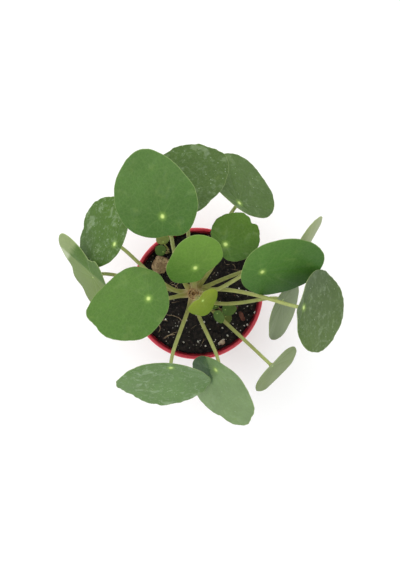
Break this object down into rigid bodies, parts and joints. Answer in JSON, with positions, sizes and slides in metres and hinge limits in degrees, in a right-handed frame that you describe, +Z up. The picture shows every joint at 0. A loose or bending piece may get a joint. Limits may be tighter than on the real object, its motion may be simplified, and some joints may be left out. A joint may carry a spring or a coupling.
{
  "type": "potted chinese money plant",
  "caption": "Round-leaved Chinese money plant with long stalks, bushy in a tapered plastic nursery pot filled with dark peat",
  "frame": {"origin": "middle of the pot's flat underside", "axes": "+Z up along the pot's axis; the pot is round, so +Y only marks the side that is up in the view from above"},
  "size_m": [0.2425, 0.2378, 0.2331],
  "materials": {
    "pot_plastic": "moulded, satin",
    "peat": "damp crumbly peat with perlite",
    "stem_bark": "corky stem ringed with leaf scars",
    "leaf_green": "smooth, slightly waxy leaf",
    "young_green": "smooth young leaf",
    "pumice": "rough, porous",
    "bark": "rough chip"
  },
  "bodies": {
    "root": {"pot": "pot_plastic", "soil": "peat", "stem": "stem_bark", "leaf_01": "leaf_green", "leaf_02": "leaf_green", "leaf_03": "leaf_green", "leaf_04": "leaf_green", "leaf_05": "leaf_green", "leaf_06": "leaf_green", "leaf_07": "leaf_green", "leaf_08": "leaf_green", "leaf_09": "leaf_green", "leaf_10": "leaf_green", "leaf_11": "leaf_green", "leaf_12": "leaf_green", "leaf_13": "leaf_green", "leaf_14": "leaf_green", "leaf_15": "leaf_green", "leaf_16": "leaf_green", "plantlet_1_stem": "young_green", "plantlet_1_leaf_1": "young_green", "plantlet_1_leaf_2": "young_green", "plantlet_1_leaf_3": "young_green", "plantlet_1_leaf_4": "young_green", "plantlet_2_stem": "young_green", "plantlet_2_leaf_1": "young_green", "plantlet_2_leaf_2": "young_green", "pumice_chunk": "pumice", "pebble": "pumice", "bark_chip_1": "bark", "bark_chip_2": "bark"}
  },
  "joints": []
}
